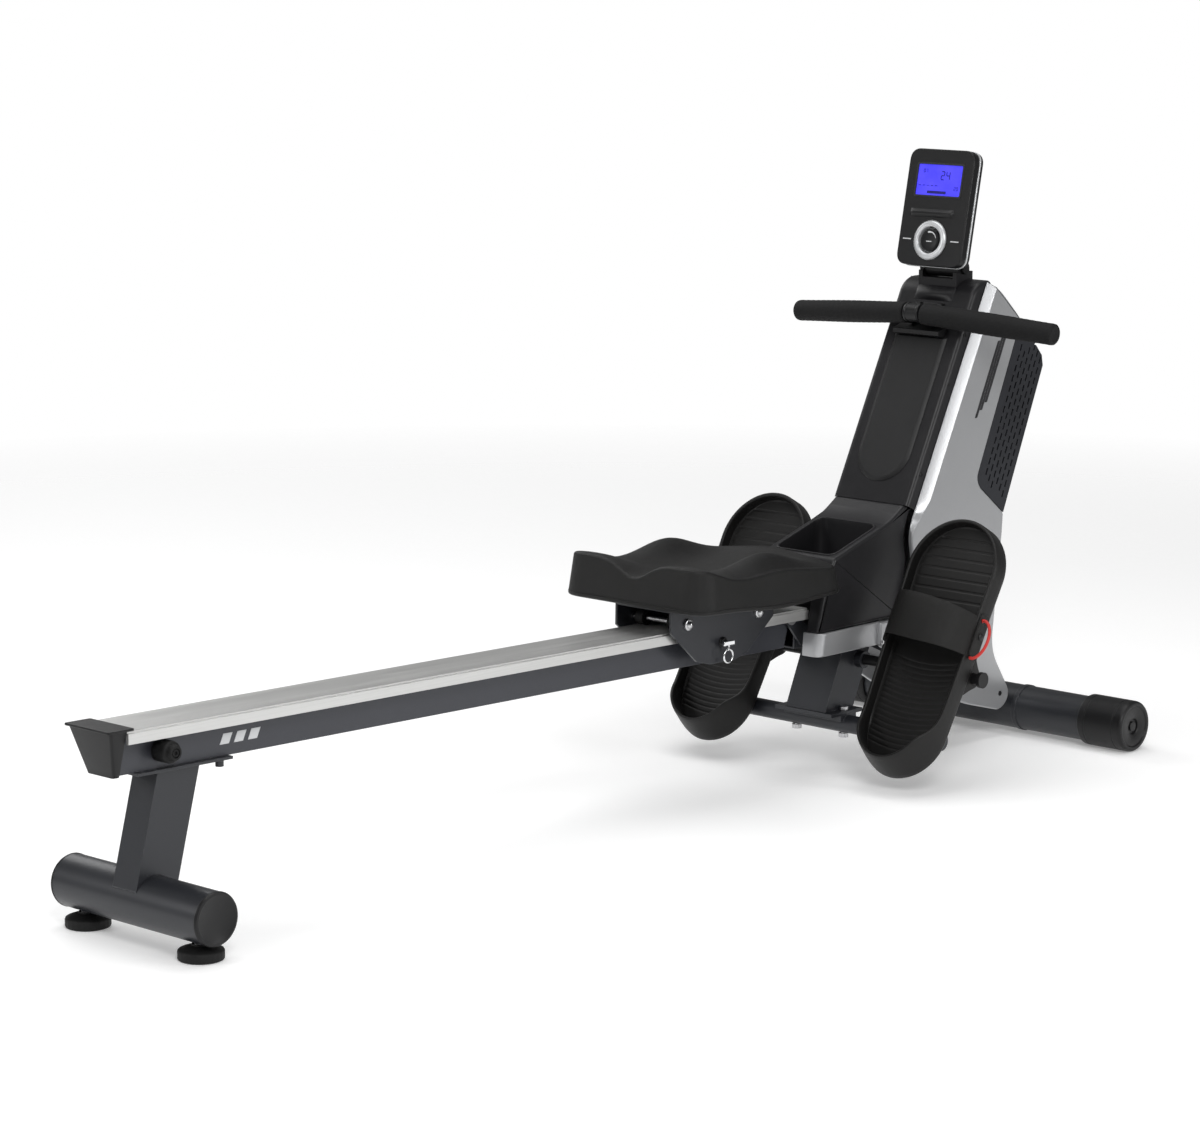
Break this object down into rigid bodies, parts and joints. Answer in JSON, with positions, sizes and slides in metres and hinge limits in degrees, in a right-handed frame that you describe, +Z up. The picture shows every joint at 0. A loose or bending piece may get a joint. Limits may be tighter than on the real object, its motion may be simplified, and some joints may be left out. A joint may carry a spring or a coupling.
{
  "type": "rowing machine",
  "caption": "Magnetic rowing machine with a rolling seat on an inclined rail, a leaning drive tower, pivoting foot plates, a pull bar on a strap and a display console.",
  "frame": {"origin": "on the floor, under the middle of the machine's length and width", "axes": "+X from the rear foot towards the drive tower, +Y to the rower's left when seated facing the tower, +Z up"},
  "size_m": [2.0283, 0.644, 1.0029],
  "materials": {
    "powder_coat": "satin textured powder coat",
    "rail_steel": "satin blue-grey powder coat",
    "rail_aluminium": "satin anodised extrusion",
    "black_plastic": "fine grained moulding",
    "silver_plastic": "satin metallic paint on moulding",
    "grille_plastic": "matte moulding",
    "hinge_steel": "bright zinc",
    "chrome": "polished chrome",
    "flywheel_iron": "turned and painted",
    "grip_foam": "closed-cell foam",
    "rubber": "moulded rubber",
    "seat_foam": "integral-skin polyurethane, fine grain",
    "webbing": "woven nylon",
    "foot_strap": "flexible moulded strap with red finger loop",
    "lcd": "backlit blue display under a clear window",
    "dial_silver": "metallic ring",
    "belt": "ribbed belt"
  },
  "bodies": {
    "frame": {"front_foot_tube": "powder_coat", "base_beam": "powder_coat", "upright_mast": "powder_coat", "leg_tube": "powder_coat", "rest_bar": "powder_coat", "rest_bar_bolts": "hinge_steel", "pedal_shaft": "hinge_steel", "side_shell_left": "silver_plastic", "side_shell_right": "silver_plastic", "grille_left": "grille_plastic", "grille_right": "grille_plastic", "face_cover": "black_plastic", "face_panel": "black_plastic", "nose_cover": "black_plastic", "back_cover": "black_plastic", "strap_guide": "black_plastic", "cover_screws": "hinge_steel", "console_neck": "black_plastic", "fold_pin": "hinge_steel", "flywheel_axle": "hinge_steel", "spool_shaft": "hinge_steel", "return_spring_case": "black_plastic", "drive_belt": "belt", "pull_strap": "webbing"},
    "rail": {"rail_tube": "rail_steel", "rail_plate": "rail_aluminium", "rail_end_cap": "black_plastic", "rail_bumpers": "rubber", "rail_hinge": "rail_steel", "rear_post": "powder_coat", "rear_foot_tube": "powder_coat", "rear_foot_caps": "black_plastic"},
    "seat": {"seat_pad": "seat_foam", "seat_base": "powder_coat", "carriage_plate_left": "powder_coat", "carriage_plate_right": "powder_coat", "carriage_axles": "hinge_steel"},
    "front_rollers": {"seat_rollers_front": "rubber"},
    "rear_rollers": {"seat_rollers_rear": "rubber"},
    "lock_pin": {"seat_lock_pin": "chrome"},
    "handlebar": {"handle_bar": "powder_coat", "handle_grips": "grip_foam", "handle_collar": "black_plastic"},
    "spool": {"strap_spool": "black_plastic"},
    "flywheel": {"flywheel": "flywheel_iron"},
    "pulley": {"drive_pulley": "black_plastic"},
    "brake": {"brake_arm": "hinge_steel"},
    "foot_plate_left": {"pedal_left": "black_plastic", "pedal_strap_left": "foot_strap"},
    "foot_plate_right": {"pedal_right": "black_plastic", "pedal_strap_right": "foot_strap"},
    "console": {"console_case": "black_plastic", "console_mount": "black_plastic", "console_screen": "lcd"},
    "dial": {"console_dial": "dial_silver"},
    "button": {"console_button": "black_plastic"},
    "roller_left": {"roller_cap_left": "black_plastic"},
    "roller_right": {"roller_cap_right": "black_plastic"},
    "level_left": {"levelling_foot_left": "rubber"},
    "level_right": {"levelling_foot_right": "rubber"}
  },
  "joints": [
    {"name": "rail_fold", "type": "hinge", "parent": "frame", "child": "rail", "pos_m": [0.41524, 0, 0.26775], "axis": [0, 1, 0], "range_deg": [0, 24]},
    {"name": "seat_slide", "type": "slide", "parent": "rail", "child": "seat", "axis": [-0.9998, 0, 0.0201], "range_m": [0, 1]},
    {"name": "front_rollers_roll", "type": "hinge", "parent": "seat", "child": "front_rollers", "pos_m": [0.30185, 0, 0.29933], "axis": [0, 1, 0], "continuous": true},
    {"name": "rear_rollers_roll", "type": "hinge", "parent": "seat", "child": "rear_rollers", "pos_m": [0.13388, 0, 0.3027], "axis": [0, 1, 0], "continuous": true},
    {"name": "lock_pin_pull", "type": "slide", "parent": "seat", "child": "lock_pin", "axis": [0, -1, 0], "range_m": [0, 0.012], "stiffness_N_per_m": 400, "springref_m": -0.005},
    {"name": "handle_pull", "type": "slide", "parent": "frame", "child": "handlebar", "axis": [1, 0, 0], "range_m": [-1, 0], "stiffness_N_per_m": 25, "springref_m": 0.8, "deforming": ["pull_strap"]},
    {"name": "spool_spin", "type": "hinge", "parent": "frame", "child": "spool", "pos_m": [0.78285, 0, 0.465], "axis": [0, 1, 0], "continuous": true},
    {"name": "flywheel_spin", "type": "hinge", "parent": "frame", "child": "flywheel", "pos_m": [0.85285, 0, 0.585], "axis": [0, 1, 0], "continuous": true},
    {"name": "pulley_spin", "type": "hinge", "parent": "frame", "child": "pulley", "pos_m": [0.78285, 0, 0.465], "axis": [0, 1, 0], "continuous": true},
    {"name": "brake_swing", "type": "hinge", "parent": "frame", "child": "brake", "pos_m": [0.89685, 0, 0.681], "axis": [0, 1, 0], "range_deg": [0, 8]},
    {"name": "foot_plate_left_tilt", "type": "hinge", "parent": "frame", "child": "foot_plate_left", "pos_m": [0.57785, 0.202, 0.18], "axis": [0, 1, 0], "range_deg": [0, 25]},
    {"name": "foot_plate_right_tilt", "type": "hinge", "parent": "frame", "child": "foot_plate_right", "pos_m": [0.57785, -0.202, 0.18], "axis": [0, 1, 0], "range_deg": [0, 25]},
    {"name": "console_tilt", "type": "hinge", "parent": "frame", "child": "console", "pos_m": [0.84585, 0, 0.804], "axis": [0, 1, 0], "range_deg": [-8, 20]},
    {"name": "dial_turn", "type": "hinge", "parent": "console", "child": "dial", "pos_m": [0.80664, 0, 0.85309], "axis": [0.9789, 0, -0.2045], "continuous": true},
    {"name": "button_press", "type": "slide", "parent": "console", "child": "button", "axis": [0.9789, 0, -0.2045], "range_m": [0, 0.0015], "stiffness_N_per_m": 800, "springref_m": -0.0015},
    {"name": "roller_left_roll", "type": "hinge", "parent": "frame", "child": "roller_left", "pos_m": [0.97085, 0.277, 0.0433], "axis": [0, 1, 0], "continuous": true},
    {"name": "roller_right_roll", "type": "hinge", "parent": "frame", "child": "roller_right", "pos_m": [0.97085, -0.277, 0.0433], "axis": [0, 1, 0], "continuous": true},
    {"name": "level_left_screw", "type": "hinge", "parent": "rail", "child": "level_left", "pos_m": [-0.92215, 0.12, 0], "axis": [0, 0, 1], "continuous": true},
    {"name": "level_right_screw", "type": "hinge", "parent": "rail", "child": "level_right", "pos_m": [-0.92215, -0.12, 0], "axis": [0, 0, 1], "continuous": true}
  ],
  "couplings": [
    {"joint": "front_rollers_roll", "follows": "seat_slide", "rad_per_m": -83.333},
    {"joint": "rear_rollers_roll", "follows": "seat_slide", "rad_per_m": -83.333},
    {"joint": "spool_spin", "follows": "handle_pull", "rad_per_m": 47.619},
    {"joint": "pulley_spin", "follows": "flywheel_spin", "ratio": 0.24242}
  ]
}
